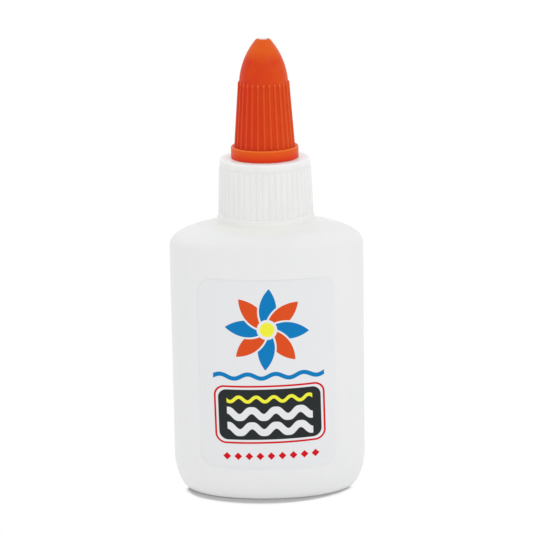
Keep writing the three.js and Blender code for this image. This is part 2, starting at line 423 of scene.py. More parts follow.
def lowerRows(inset, floor):  # from the middle of the base to the top of the heel
    power = bottle["ovalPower"]
    stand = bottle["heelInset"] + bottle["standWidth"]
    hollow = stand + bottle["pushUpSlope"]
    slope = filleted([
        (hollow + bottle["pushUpLand"], floor + bottle["pushUp"], 0),
        (hollow, floor + bottle["pushUp"], bottle["baseFillet"]),
        (stand, floor, bottle["baseFillet"]),
        (bottle["heelInset"], floor, 0),
    ])
    rise = bottle["heelHeight"] - floor
    heel = []
    for share in evenly(0, 1, bottle["heelSteps"])[1:]:
        inward, down = oval(bottle["heelInset"], rise, (1 - share) * tau / 4, bottle["heelPower"])
        heel.append((bottle["heelInset"] - inward, floor + rise - down))
    size = lambda more: (halfWidth - inset - more, halfDepth - inset - more)
    centre = size(slope[0][0])
    rows = []
    for share in evenly(0, 1, bottle["crownSteps"])[1:-1]:
        crown = bottle["pushUpCrown"] * (1 - share ** 2)
        rows.append((centre[0] * share, centre[1] * share, slope[0][1] + crown, power))
    return rows + [(*size(more), z, power) for more, z in [*slope, *heel]]


def shoulderRows(inset, radius, rise, end, steps):
    width, depth = halfWidth - inset, halfDepth - inset
    rows = []
    for u in evenly(0, 1, steps):
        share = end * math.sin(u * tau / 4)
        spread = 1 - share ** bottle["shoulderPower"]
        power = 2 + (bottle["ovalPower"] - 2) * spread
        rows.append((radius + (width - radius) * spread, radius + (depth - radius) * spread,
                     shoulderStart + rise * share, power))
    return rows


def seatRow(share):
    radius = bottle["seatRadius"] + bottle["seatFlare"] * (1 - share) ** 2
    return radius, radius, shoulderTop + (rimTop - shoulderTop) * share, 2


def outsideRows():
    rim = collarHigh.y + bottle["seatRimGap"]
    radius = bottle["neckRadius"]
    span = bottle["filmSpan"][1]
    edges = [(filmFoot - span, filmFoot + filmCorner), (filmTop - filmCorner, filmTop + span)]
    sides = crowded(bottle["heelHeight"], shoulderStart, bottle["coarseRow"], bottle["fineRow"], edges)
    rows = lowerRows(0, 0)
    rows += [(halfWidth, halfDepth, z, bottle["ovalPower"]) for z in sides[1:-1]]
    rows += shoulderRows(0, seatRow(0)[0], bottle["shoulderRise"], bottle["shoulderEnd"],
                         bottle["shoulderSteps"])
    rows += curve(rows[-1], seatRow(0), seatRow(bottle["seatBend"]), bottle["seatSteps"])[1:]
    neck = stepped(filleted([
        (rows[-1][0], rows[-1][2], 0),
        (rim + bottle["seatRimWidth"], rimTop, bottle["seatRimFillet"]),
        (rim, rimTop, bottle["seatRimFillet"]),
        (rim, neckRoot, bottle["seatCorner"]),
        (radius, neckRoot, bottle["seatFillet"]),
        (radius, lipHeight, bottle["lipFillet"]),
        (neckBore, lipHeight, bottle["lipFillet"]),
        (neckBore, neckRoot, 0),
    ]), bottle["neckRow"])
    return rows + [(reach, reach, z, 2) for reach, z in neck[1:] if reach > neckBore]


def insideRows():
    wall = bottle["wall"]
    sides = evenly(bottle["heelHeight"], shoulderStart, bottle["insideSideSteps"])
    rows = lowerRows(wall, bottle["baseThickness"])[::2]
    rows += [(halfWidth - wall, halfDepth - wall, z, bottle["ovalPower"]) for z in sides[1:-1]]
    rows += shoulderRows(wall, neckBore, bottle["shoulderRise"] - wall / 2, 1, bottle["insideShoulderSteps"])
    return rows + [(neckBore, neckBore, lipHeight - bottle["lipFillet"], 2)]


def bottleColumns():  # angles round the oval, close together at the film's sides and the mould lines
    inside, outside = bottle["filmSpan"]
    seam = bottle["seamSpan"]
    spots = [(-seam, seam), (tau / 2 - seam, tau / 2 + seam), (tau - seam, tau + seam)]
    for side in (-1, 1):
        reaches = (filmHalfWidth - inside, filmHalfWidth + outside)
        ends = [tau - math.acos(side * (x / halfWidth) ** (bottle["ovalPower"] / 2)) for x in reaches]
        spots.append(tuple(sorted(ends)))
    return crowded(0, tau, bottle["coarseColumn"], bottle["fineColumn"], spots)[:-1]


def outerPoint(row, angle):
    halfX, halfY, z, power = row
    x, y = oval(halfX, halfY, angle, power)
    parting = 1 - smooth(*bottle["partingWidth"], abs(y))
    parting *= smooth(*bottle["partingFoot"], z)
    parting *= 1 - smooth(shoulderTop - bottle["partingRunOut"], shoulderTop, z)
    outward = bottle["partingHeight"] * parting
    if y < 0 and z < shoulderStart:
        outward -= bottle["panelDepth"] * (1 - smooth(*bottle["panelSink"], outsideFilm(x, z)))
    if z > neckRoot:
        outward += threadRelief(angle, z, neckThread)
    if z < bottle["pinchTop"]:
        pinch = (1 - smooth(*bottle["pinchWidth"], abs(y))) * smooth(*bottle["pinchEnd"], halfWidth - halfX)
        z -= bottle["pinchHeight"] * pinch
    return (*oval(halfX + outward, halfY + outward, angle, power), z)


def makeBottle(material):
    columns = bottleColumns()
    inside = insideRows()
    rings = [[(0, 0, bottle["pushUp"] + bottle["pushUpCrown"] - bottle["pinchHeight"])]]
    rings += [[outerPoint(row, angle) for angle in columns] for row in outsideRows()]
    rings += [ovalRing(row, columns) for row in reversed(inside)]
    rings.append([(0, 0, inside[0][2])])
    addPiece("bottle_shell", rings, lofted(rings), material, "bottle", "bottle_body")


polyethylene = {
    "white": (0.834, 0.836, 0.833, 1),
    "cool": (0.816, 0.823, 0.823, 1),
    "scuff": (0.70, 0.69, 0.665, 1),
    "scuffShare": 0.55,
    "neckTint": (0.85, 0.845, 0.785, 1),  # a yellowish tint in patches on the shoulder round the neck
    "neckTintShare": 0.55,
    "neckTintReach": (10.7, 12.3),  # it ends between these radii
    "creaseLight": (0.88, 0.88, 0.875, 1),  # painted light: lifts the shade of the crease where the collar's foot meets the seat
    "creaseLightReach": (9.9, 10.2),
    "roughness": 0.42,
    "orangePeel": 0.004,  # heights in millimetres
    "grain": 0.0015,
    "scratch": 0.003,
}


def makePolyethylene():
    look = polyethylene
    material, shader, place = startMaterial("bottle_plastic", {"IOR": 1.5, "Specular IOR Level": 0.35})
    x, y, z = place.axes()
    radius = hypot(x, y)
    streaks = place.stretched(1, 1, 0.08).cloud(0.35, 3)
    colour = (streaks * 0.5 + place.cloud(0.09) * 0.5).above(0.3, 0.7).tint(look["white"], look["cool"])
    scratches = place.stretched(0.5, 0.5, 3).cloud(2.2, 4, 0.7).above(0.62, 0.75)
    heelRub = z.below(0.2, 3.2)
    climb = z - shoulderStart
    shoulderRub = climb.above(-1.5, 1) * climb.below(1, 3.5)
    worn = (scratches * (heelRub + shoulderRub * 0.5)).least(1)
    colour = (worn * look["scuffShare"]).tint(colour, look["scuff"])
    # a yellowish tint in patches on the upper shoulder, near the neck
    neckTinted = radius.below(*look["neckTintReach"]) * climb.above(2, 3)
    colour = (neckTinted * place.cloud(0.3, 3).above(0.2, 0.6) * look["neckTintShare"]).tint(colour, look["neckTint"])
    # painted light: a lighter band on the seat, against the shade in the crease under the collar
    creaseLightMask = radius.below(*look["creaseLightReach"]) * z.above(collarLow.z - 0.3, collarLow.z + 0.1)
    colour = creaseLightMask.tint(colour, look["creaseLight"])
    roughness = look["roughness"] + place.cloud(1.5, 3) * 0.08 + worn * 0.12
    peel = place.cloud(0.8) * look["orangePeel"] + place.cloud(6) * look["grain"] - worn * look["scratch"]
    feed(shader, colour, roughness, peel)
    return material


makeBottle(makePolyethylene())


# Glue inside the bottle

glue = {
    "gap": 1.1,  # from the body's outside
    "floor": 1.3,
    "meniscus": 0.7,
    "meniscusReach": 2.4,
    "meniscusPower": 2.2,
    "steps": 10,  # up the sides, and again over the meniscus
    "surface": (3.4, 5, 7, 9, 11),  # insets of the rings on the flat surface
    "columns": 96,
}


def makeGlue(material):
    width, depth, power = halfWidth - glue["gap"], halfDepth - glue["gap"], bottle["ovalPower"]
    columns = evenly(0, tau, glue["columns"])[:-1]
    sides = evenly(bottle["heelHeight"], shoulderStart, glue["steps"])[1:]
    rows = lowerRows(glue["gap"], glue["floor"])[::2]
    rows += [(width, depth, z, power) for z in sides]
    for inset in [*evenly(0, glue["meniscusReach"], glue["steps"])[1:], *glue["surface"]]:
        climb = 1 - min(inset / glue["meniscusReach"], 1)
        dip = glue["meniscus"] * (1 - climb ** glue["meniscusPower"])
        rows.append((width - inset, depth - inset, shoulderStart - dip, power))
    rings = [[(0, 0, rows[0][2])]]
    rings += [ovalRing(row, columns) for row in rows]
    rings.append([(0, 0, shoulderStart - glue["meniscus"])])
    addPiece("glue_body", rings, lofted(rings), material, "bottle", "glue_fill")


wetGlue = {
    "milk": (0.9, 0.885, 0.84, 1),
    "skin": (0.86, 0.83, 0.74, 1),
    "roughness": 0.14,
    "bubble": 0.02,
    "ripple": 0.04,
}


def makeWetGlue():
    look = wetGlue
    material, shader, place = startMaterial("glue", {"IOR": 1.47})
    z = place.axes()[2]
    bubbles = place.cells(0.9).below(0.08, 0.2)
    drying = place.cloud(0.3, 3).above(0.5, 0.75) * z.above(shoulderStart - 1, shoulderStart)
    colour = drying.tint(look["milk"], look["skin"])
    roughness = look["roughness"] + drying * 0.3 + place.cloud(0.8) * 0.05
    height = bubbles * look["bubble"] + place.cloud(0.25) * look["ripple"]
    feed(shader, colour, roughness, height)
    return material


makeGlue(makeWetGlue())


# Label film on the front

film = {
    "inset": 0.105,  # the film's face, from the body's outside
    "back": 0.145,
    "edge": 0.015,
    "cornerSteps": 12,
    "outlineStep": 1.0,
    "rings": 30,
}


def filmOutline():  # counter-clockwise from the front, about the film's middle
    x, z = filmHalfWidth - filmCorner, filmHalfHeight - filmCorner
    outline = []
    for quarter, (cornerX, cornerZ) in enumerate([(x, -z), (x, z), (-x, z), (-x, -z)]):
        for share in evenly(0, 1, film["cornerSteps"]):
            angle = (quarter - 1 + share) * tau / 4
            arm = Vector((math.cos(angle), math.sin(angle))) * filmCorner
            outline.append(Vector((cornerX, cornerZ)) + arm)
    return stepped([*outline, outline[0]], film["outlineStep"])[:-1]


def makeFilm(material):
    outline = filmOutline()
    power = bottle["ovalPower"]

    def ring(margin, inset):  # margin is the share of the outline's size that is taken off
        points = []
        for aside, along in outline:
            x, z = filmAside + aside * (1 - margin), along * (1 - margin)
            reach = 1 - (abs(x) / (halfWidth - inset)) ** power
            points.append((x, -(halfDepth - inset) * reach ** (1 / power), filmMiddle + z))
        return points

    middle = lambda inset: [(filmAside, inset - halfDepth, filmMiddle)]
    margins = evenly(0, 1, film["rings"])[1:-1]
    edge = film["edge"] / filmHalfWidth
    rings = [middle(film["back"])]
    rings += [ring(margin, film["back"]) for margin in reversed(margins)]
    rings += [ring(edge, film["back"]), ring(0, film["back"] - film["edge"])]
    rings += [ring(0, film["inset"] + film["edge"]), ring(edge, film["inset"])]
    rings += [ring(margin, film["inset"]) for margin in margins]
    rings.append(middle(film["inset"]))
    addPiece("label_film", rings, lofted(rings), material, "bottle", "front_label")


labelInk = {
    "white": (0.806, 0.812, 0.828, 1),
    "orange": (0.73, 0.078, 0.012, 1),
    "blue": (0.001, 0.2, 0.51, 1),
    "charcoal": (0.021, 0.026, 0.026, 1),
    "red": (0.64, 0.004, 0.01, 1),
    "yellow": (0.88, 0.86, 0.05, 1),
    "edge": 0.05,  # softness of a printed edge
    "height": 0.006,  # of the ink on the film
    "crinkle": 0.006,
    "grain": 0.0008,
    "roughness": 0.34,
    "missing": 0.35,  # how far a speck in the ink shows the film
    "tilt": -1.05,  # degrees, the print sits slightly turned on the bottle
}
pinwheel = {  # heights on the label are from its middle
    "height": 9.7,
    "blades": 8,
    "root": 4.6,
    "reach": 8.6,
    "twist": 0.1,
    "slit": 0.35,
    "hub": 1.5,
    "hubRing": 2.1,
}
ribbon = (-0.1, 0.45, 5.7, 0.9, 11.4)  # height, swing, length of a wave, thickness, half length
slate = {"low": -14.5, "high": -2.05, "halfWidth": 11.4, "corner": 1.8, "line": 0.4, "lineGap": 0.45}
waves = [  # as the ribbon, and the ink
    (-5.0, 0.5, 3.6, 0.7, 8.8, "yellow"),
    (-8.1, 0.75, 5.0, 1.5, 8.8, "white"),
    (-11.35, 0.75, 5.0, 1.5, 8.8, "white"),
]
diamonds = {"height": -17.2, "spacing": 2.28, "count": 9, "size": 0.82}


def within(distance, limit=0):  # 1 where the distance is under the limit
    return distance.below(limit - labelInk["edge"], limit + labelInk["edge"])


def roundedBox(x, z, halfX, low, high, corner):  # distance from the box, negative inside it
    aside = x.size() - (halfX - corner)
    along = (z - (low + high) / 2).size() - ((high - low) / 2 - corner)
    outside = hypot(aside.most(0), along.most(0))
    return outside + aside.most(along).least(0) - corner


def wavyLine(x, z, height, swing, length, thickness, halfLength):
    bend = x * (tau / length)
    wave = bend.math("SINE", bend) * swing
    slope = (bend.math("COSINE", bend) * (swing * tau / length)) ** 2
    away = (z - height - wave).size() / (slope + 1) ** 0.5
    return within(away, thickness / 2) * within(x.size(), halfLength)


def pinwheelBlades(x, z):  # every other blade, the blades between them, and the hub
    up = z - pinwheel["height"]
    reach = hypot(up, x)
    turn = up.math("ARCTAN2", up, x) + reach * pinwheel["twist"]
    phase = turn * (pinwheel["blades"] / tau) + pinwheel["blades"]
    blade = phase.fraction()
    outer = pinwheel["root"] + blade * (pinwheel["reach"] - pinwheel["root"])
    along = blade * reach * (tau / pinwheel["blades"])  # along the arc, from the blade's straight edge
    vane = within(reach - outer) * (1 - within(reach, pinwheel["hubRing"]))
    vane = vane * (1 - within(along, pinwheel["slit"] + labelInk["edge"]))
    odd = (phase / 2).fraction().above(0.499, 0.501)
    return vane * odd, vane * (1 - odd), within(reach, pinwheel["hub"])


def slatePanel(x, z):  # the line round the panel, and the panel
    margin = slate["line"] + slate["lineGap"]
    low, high, halfX = slate["low"], slate["high"], slate["halfWidth"]
    rim = roundedBox(x, z, halfX, low, high, slate["corner"] + slate["line"])
    field = roundedBox(x, z, halfX - margin, low + margin, high - margin, slate["corner"])
    return within(rim) * (1 - within(rim, -slate["line"])), within(field)


def diamondRow(x, z):
    step = diamonds["spacing"]
    aside = ((x / step + 0.5).fraction() - 0.5).size() * step
    diamond = within(aside + (z - diamonds["height"]).size(), diamonds["size"])
    return diamond * within(x.size(), step * diamonds["count"] / 2)


def makeLabelFilm():
    ink = labelInk
    material, shader, place = startMaterial("label_film", {"IOR": 1.5, "Specular IOR Level": 0.1})
    turned = place.node("ShaderNodeVectorRotate", {"rotation_type": "Y_AXIS"},
                        {"Vector": place, "Center": (0, 0, filmMiddle), "Angle": math.radians(-ink["tilt"])})
    x, level = turned.axes()[::2]
    z = level - filmMiddle
    oddBlades, evenBlades, hub = pinwheelBlades(x, z)
    line, field = slatePanel(x, z)
    layers = [(oddBlades, "orange"), (evenBlades, "blue"), (hub, "yellow")]
    layers += [(wavyLine(x, z, *ribbon), "blue"), (line, "red"), (field, "charcoal")]
    layers += [(wavyLine(x, z, *shape), name) for *shape, name in waves]
    layers.append((diamondRow(x, z), "red"))
    colour, printed = ink["white"], 0
    for mask, name in layers:
        colour = mask.tint(colour, ink[name])
        printed = mask.most(printed)
    specks = place.cells(7).below(0.05, 0.12) * place.cloud(0.8).above(0.55, 0.65)
    colour = (specks * printed * ink["missing"]).tint(colour, ink["white"])
    roughness = ink["roughness"] + place.cloud(2, 3) * 0.08 - printed * 0.06
    height = printed * ink["height"] + place.cloud(0.5, 3) * ink["crinkle"] + place.cloud(9) * ink["grain"]
    feed(shader, colour, roughness, height)
    return material


makeFilm(makeLabelFilm())


# Screw collar with its spout and sealing pin, one white moulding

collar = {
    "bore": 8.1,
    "boreFillet": 0.2,
    "skirtTop": 9.28,  # radius in the rib valleys
    "skirtFoot": 9.63,
    "band": 0.5,
    "bandStep": 0.12,
    "bandRise": 0.05,  # the band's step ends this much outside the skirt
    "bandTaper": 0.03,  # the band leans in towards the foot
    "bandFillet": 0.05,
    "footFillet": 0.04,
    "brow": 1.05,
    "ribCount": 46,
    "ribPhases": (0, 0.27, 0.385, 0.5, 0.615, 0.73),  # columns of points, as shares of the pitch
    "ribHeight": 0.13,
    "ribStart": (-0.1, 0.1),  # heights over the band between which a rib starts
    "ribRunOut": 0.45,
    "grooveShare": 0.46,  # of the pitch
    "deckGap": 0.1,  # over the washer
    "nozzleGap": 0.04,  # under the nozzle
    "nozzleRaise": 0.1,  # the flange's foot, over the solid's
    "deckFillet": 0.55,
    "spout": 4.0,
    "spoutBore": 3.05,
    "spoutRise": 10.7,  # over the deck
    "spoutBoreFillet": 0.25,
    "spoutRootFillet": 0.3,
    "spoutFillet": 0.4,
    "web": 1.2,
    "webFillet": 0.1,
    "pinRoot": 1.5,
    "pinTip": 0.88,
    "pinTaper": 11,
    "pinFillet": 0.5,
    "pinEndFillet": 0.25,
    "pinStandOut": 0.2,  # the pin's end, over the nozzle's tip
    "windowCount": 3,
    "windowInner": 1.75,
    "windowOuter": 2.8,
    "windowEdge": 0.01,
    "windowSpoke": 0.9,  # radians between two windows
    "filletSteps": 4,
    "row": 0.26,
}
collarThread = {
    "starts": 1, "lead": 3.0, "foot": collarLow.z + 1.4, "top": lipHeight - 1.6, "runOut": 0.7,
    "crestWidth": 0.5, "rootWidth": 1.4, "height": 0.28,
}
joints = {joint["name"]: joint for joint in frame["joints"]}
nozzleLead = joints["nozzle_lift"]["range_m"][1] * mm * 360 / joints["nozzle_turn"]["range_deg"][1]
deckUnderside = washerHigh.z + collar["deckGap"]
nozzleFoot = nozzleLow.z + collar["nozzleRaise"]
deckTop = nozzleFoot - collar["nozzleGap"]
spoutTop = deckTop + collar["spoutRise"]
webFoot = spoutTop - collar["web"]
spoutThread = {
    "starts": 2, "lead": nozzleLead, "foot": deckTop + 1.6, "top": spoutTop - 1.1, "runOut": 0.5,
    "crestWidth": 0.3, "rootWidth": 0.8, "height": 0.17,
}


def collarRib(phase):  # a rounded groove lies half way between two ribs
    return 1 - math.cos(min(abs(phase - 0.5) / collar["grooveShare"], 0.5) * tau / 2) ** 2


def collarCorners():  # from the web's underside round the skirt and up to the end of the pin
    foot, end = collarLow.z, nozzleHigh.z + collar["pinStandOut"]
    bandTop = foot + collar["band"]
    return [
        (0, webFoot, 0),
        (collar["windowInner"], webFoot, collar["windowEdge"]),
        (collar["windowOuter"], webFoot, collar["windowEdge"]),
        (collar["spoutBore"], webFoot, collar["webFillet"]),
        (collar["spoutBore"], deckUnderside, collar["spoutBoreFillet"]),
        (collar["bore"], deckUnderside, collar["boreFillet"]),
        (collar["bore"], foot, collar["boreFillet"]),
        (collarHigh.y - collar["bandTaper"], foot, collar["footFillet"]),
        (collarHigh.y, bandTop, collar["bandFillet"]),
        (collar["skirtFoot"] + collar["bandRise"], bandTop + collar["bandStep"], collar["bandFillet"]),
        (collar["skirtTop"], deckTop, collar["deckFillet"]),
        (collar["spout"], deckTop, collar["spoutRootFillet"]),
        (collar["spout"], spoutTop, collar["spoutFillet"]),
        (collar["windowOuter"], spoutTop, collar["windowEdge"]),
        (collar["windowInner"], spoutTop, collar["windowEdge"]),
        (collar["pinRoot"], spoutTop, collar["webFillet"]),
        (collar["pinTip"], spoutTop + collar["pinTaper"], collar["pinFillet"]),
        (collar["pinTip"], end, collar["pinEndFillet"]),
        (0, end, 0),
    ]


def makeCollar(material):
    profile = stepped(filleted(collarCorners(), collar["filletSteps"]), collar["row"])
    columns = ribColumns(collar, collarRib)
    ribFoot = collarLow.z + collar["band"] + collar["bandStep"]
    ribTop = deckTop - collar["deckFillet"] - collar["brow"]
    skirtMiddle = (collar["bore"] + collar["skirtTop"]) / 2
    rings = []
    for radius, z in profile:
        ribHeight = 0
        if radius > skirtMiddle:
            ribHeight = collar["ribHeight"] * smooth(*collar["ribStart"], z - ribFoot)
            ribHeight *= 1 - smooth(ribTop - collar["ribRunOut"], ribTop, z)
        ring = []
        for angle, rib in columns:
            reach = radius + ribHeight * rib
            if onWall(radius, collar["bore"]):
                reach -= threadRelief(angle, z, collarThread)
            if onWall(radius, collar["spout"]) and z > deckTop:
                reach += threadRelief(angle, z, spoutThread)
            ring.append(around(reach, angle, z))
        rings.append(ring)
    rings[0] = [(0, 0, profile[0][1])]
    rings[-1] = [(0, 0, profile[-1][1])]
    faces = lofted(rings)
    cutWindows(rings, profile, faces)
    addPiece("collar_moulding", rings, faces, material, "collar", "screw_collar")


def cutWindows(rings, profile, faces):  # openings through the web beside the pin
    index = ringIndex(rings)
    count = len(rings[1])

    def rowAt(radius, z):  # the row that lies nearest to a corner of the opening
        away = lambda row: (profile[row] - Vector((radius, z))).length
        return min(range(1, len(rings) - 1), key=away)

    lowIn, lowOut = rowAt(collar["windowInner"], webFoot), rowAt(collar["windowOuter"], webFoot)
    highIn, highOut = rowAt(collar["windowInner"], spoutTop), rowAt(collar["windowOuter"], spoutTop)
    pitch = count / collar["windowCount"]
    spoke = count * collar["windowSpoke"] / tau
    for window in range(collar["windowCount"]):
        first = round(window * pitch + spoke / 2)
        last = round((window + 1) * pitch - spoke / 2)
        for column in range(first, last):
            for row in [*range(lowIn, lowOut), *range(highOut, highIn)]:
                del faces[row, column % count]
            faces["inner", column] = quad(index, lowIn, highIn, column)
            faces["outer", column] = quad(index, highOut, lowOut, column)
        sides = [*range(lowIn, lowOut + 1), *range(highOut, highIn + 1)]
        faces["first", window] = [index(row, first) for row in sides]
        faces["last", window] = [index(row, last) for row in reversed(sides)]


polypropylene = {
    "white": (0.86, 0.86, 0.855, 1),
    "shade": (0.84, 0.84, 0.832, 1),
    # painted shade for the rib grooves, also the colour of scuffs on the crests
    "grooveShadeAndScuff": (0.78, 0.776, 0.76, 1),
    # painted cool tint on the deck, offsetting the orange light bounced from the nozzle
    "deck": (0.87, 0.945, 0.96, 1),
    "creaseLight": (0.97, 0.97, 0.965, 1),  # painted light on the foot's edge, lifting the shade of the crease at the seat
    "roughness": 0.38,
    "grain": 0.002,
    "sink": 0.004,
    "scratch": 0.003,
}


def makePolypropylene():
    look = polypropylene
    material, shader, place = startMaterial("collar_plastic", {
        "IOR": 1.49, "Specular IOR Level": 0.4,
        "Subsurface Weight": 0.4, "Subsurface Radius": (1, 1, 1), "Subsurface Scale": 1 / mm,
    })
    x, y, z = place.axes()
    radius = hypot(x, y)
    bore, foot = collar["bore"], collarLow.z
    rise = (deckTop - foot) / (collar["skirtFoot"] - collar["skirtTop"])
    relief = radius - (collar["skirtFoot"] - (z - foot) / rise)  # height over the rib valleys
    skirt = z.above(foot + 0.4, foot + 0.6) * z.below(deckTop - 1.4, deckTop - 1)
    groove = relief.below(0.02, 0.1) * skirt * radius.above(bore + 0.5, bore + 0.6)
    crest = relief.above(0.09, 0.14) * skirt
    colour = place.stretched(1, 1, 0.2).cloud(0.5, 3).above(0.3, 0.7).tint(look["white"], look["shade"])
    # painted shade: the rib grooves are darkened
    colour = (groove * (0.2 + place.cloud(0.9, 3) * 0.3)).tint(colour, look["grooveShadeAndScuff"])
    scuffs = place.stretched(2, 2, 0.4).cloud(1.6, 4, 0.7).above(0.6, 0.72) * crest
    colour = (scuffs * 0.3).tint(colour, look["grooveShadeAndScuff"])
    # painted cool tint on the deck, against the orange light bounced from the nozzle
    deck = z.above(deckTop - 0.3, deckTop - 0.02) * z.below(deckTop + 0.05, deckTop + 0.2)
    colour = deck.tint(colour, look["deck"])
    # painted light: the foot's edge is lighter, against the shade of the crease at the seat
    creaseLightMask = z.below(foot + 0.4, foot + 0.8) * radius.above(bore + 1.2, bore + 1.4)
    colour = creaseLightMask.tint(colour, look["creaseLight"])
    roughness = look["roughness"] + place.cloud(1.8, 3) * 0.08 - crest * 0.06 + groove * 0.08
    height = place.cloud(7) * look["grain"] + place.cloud(0.9) * look["sink"] - scuffs * look["scratch"]
    feed(shader, colour, roughness, height)
    return material


makeCollar(makePolypropylene())


# Sealing washer between the lip and the collar

washer = {
    "inner": 5.9,
    "edge": 0.2,
    "imprint": 0.06,  # mark of the lip in the underside
    "imprintInner": (6.0, 6.3),
    "imprintOuter": (7.1, 7.4),
    "row": 0.2,
    "columns": 120,
}


def makeWasher(material):
    inner, outer, edge = washer["inner"], washerHigh.y, washer["edge"]
    low, high = washerLow.z, washerHigh.z
    start = (inner, (low + high) / 2, 0)
    corners = [(inner, low, edge), (outer, low, edge), (outer, high, edge), (inner, high, edge)]
    rings = []
    for radius, z in stepped(filleted([start, *corners, start]), washer["row"])[:-1]:
        if onWall(z, low):
            lip = smooth(*washer["imprintInner"], radius) * (1 - smooth(*washer["imprintOuter"], radius))
            z += washer["imprint"] * lip
        rings.append([around(radius, angle, z) for angle in evenly(0, tau, washer["columns"])[:-1]])
    faces = lofted(rings, closed=True)
    addPiece("washer_ring", rings, faces, material, "washer", "sealing_washer")


foam = {
    "pale": (0.73, 0.70, 0.63, 1),
    # painted shade in the foam's pits
    "shadedPits": (0.6, 0.57, 0.5, 1),
    "roughness": 0.8,
    "pit": 0.03,
    "finePit": 0.012,
}


def makeFoam():
    look = foam
    material, shader, place = startMaterial("washer_foam", {"IOR": 1.45, "Specular IOR Level": 0.3})
    pits = place.cells(4.5).below(0.15, 0.4)
    fine = place.cells(11).below(0.15, 0.45)
    # painted shade: the pits are darker
    shadedPits = (pits * 0.7 + fine * 0.4).least(1)
    colour = (shadedPits * 0.6).tint(look["pale"], look["shadedPits"])
    height = 0 - pits * look["pit"] - fine * look["finePit"]
    roughness = look["roughness"] + shadedPits * 0.1
    feed(shader, colour, roughness, height)
    return material


makeWasher(makeFoam())


# Twist nozzle: ribbed grip, flange and dome, one orange moulding

nozzle = {
    "bore": 4.25,
    "boreFillet": 0.25,
    "boreStart": 2,  # the loop of points starts this far up the bore
    "boreRunOut": 2.0,
    "boreRunOutFillet": 0.4,
    "gripTop": 5.05,  # radius in the rib valleys
    "gripFoot": 5.97,
    "gripHeight": 12.25,
    "gripFillet": 0.12,
    "flangeHeight": 2.5,
    "flangeFillet": 0.3,
    "flangeFoot": 0.06,
    "domeHeight": 9.75,
    "domeWall": 1.15,
    "domeSteps": 40,
    "domeInside": ((0.7, 0.4), (0.35, 0.8), (0, 0.5)),  # shares of the dome's height, and fillets
    "tip": 1.4,
    "tipFillet": 0.22,
    "orifice": 1.0,
    "orificeFillet": 0.12,
    "orificeRoot": 0.8,  # share of the dome's height at which the orifice starts
    "orificeRootFillet": 0.2,
    "ribCount": 28,
    "ribHeight": 0.27,
    "ribPhases": (0, 0.07, 0.12, 0.17, 0.22, 0.28, 0.39, 0.5, 0.61, 0.72, 0.78, 0.83, 0.88, 0.93),
    "ribFlat": (0.09, 0.27),  # shares of the pitch between which a rib falls to its valley
    "ribEnd": (0.86, 1.26),  # heights over the grip between which a rib ends
    "filletSteps": 6,  # on the flange
    "threadShort": 0.6,  # its thread ends this much lower than the spout's
    "row": 0.3,
}
flangeTop = nozzleLow.z + nozzle["flangeHeight"]
gripTop = flangeTop + nozzle["gripHeight"]
nozzleThread = dict(spoutThread)  # a quarter of the lead lower, so that it lies between the spout's
nozzleThread["foot"] -= nozzleLead / 4
nozzleThread["top"] -= nozzle["threadShort"]


def domeRadius(height):
    fall = nozzle["gripTop"] - nozzle["tip"]
    arc = (fall ** 2 + nozzle["domeHeight"] ** 2) / (2 * fall)
    return nozzle["gripTop"] - arc + math.sqrt(arc ** 2 - height ** 2)


def nozzleLoop():  # from the bore out over the flange and the dome, and back through the orifice
    bore, flange, end = nozzle["bore"], nozzleHigh.y, nozzleHigh.z
    domeHeight = nozzle["domeHeight"]
    start = (bore, nozzleFoot + nozzle["boreStart"], 0)
    lower = filleted([
        start,
        (bore, nozzleFoot, nozzle["boreFillet"]),
        (flange, nozzleFoot, nozzle["flangeFoot"]),
        (flange, flangeTop, nozzle["flangeFillet"]),
        (nozzle["gripFoot"], flangeTop, nozzle["gripFillet"]),
        (nozzle["gripTop"], gripTop, 0),
    ], nozzle["filletSteps"])
    heights = evenly(0, domeHeight, nozzle["domeSteps"])[1:-1]
    dome = [Vector((domeRadius(height), gripTop + height)) for height in heights]
    inside = [(domeRadius(domeHeight * share) - nozzle["domeWall"], gripTop + domeHeight * share, fillet)
              for share, fillet in nozzle["domeInside"]]
    tip = filleted([
        (*dome[-1], 0),
        (nozzle["tip"], end, nozzle["tipFillet"]),
        (nozzle["orifice"], end, nozzle["orificeFillet"]),
        (nozzle["orifice"], gripTop + domeHeight * nozzle["orificeRoot"], nozzle["orificeRootFillet"]),
        *inside,
        (bore, gripTop - nozzle["boreRunOut"], nozzle["boreRunOutFillet"]),
        start,
    ])
    return stepped([*lower, *dome, *tip[1:]], nozzle["row"])[:-1]


def nozzleRib(phase):
    return 1 - smooth(*nozzle["ribFlat"], min(phase, 1 - phase))


def makeNozzle(material):
    columns = ribColumns(nozzle, nozzleRib)
    gripMiddle = (nozzle["bore"] + nozzle["gripTop"]) / 2
    rings = []
    for radius, z in nozzleLoop():
        outside = gripMiddle < radius < nozzle["gripFoot"] + 0.01 and z > flangeTop - 0.01
        ribHeight = nozzle["ribHeight"] * (1 - smooth(*nozzle["ribEnd"], z - gripTop)) if outside else 0
        threaded = onWall(radius, nozzle["bore"]) and z < gripTop
        ring = []
        for angle, rib in columns:
            reach = radius + ribHeight * rib
            if threaded:
                reach -= threadRelief(angle, z, nozzleThread)
            ring.append(around(reach, angle, z))
        rings.append(ring)
    faces = lofted(rings, closed=True)
    addPiece("nozzle_moulding", rings, faces, material, "nozzle", "twist_nozzle")


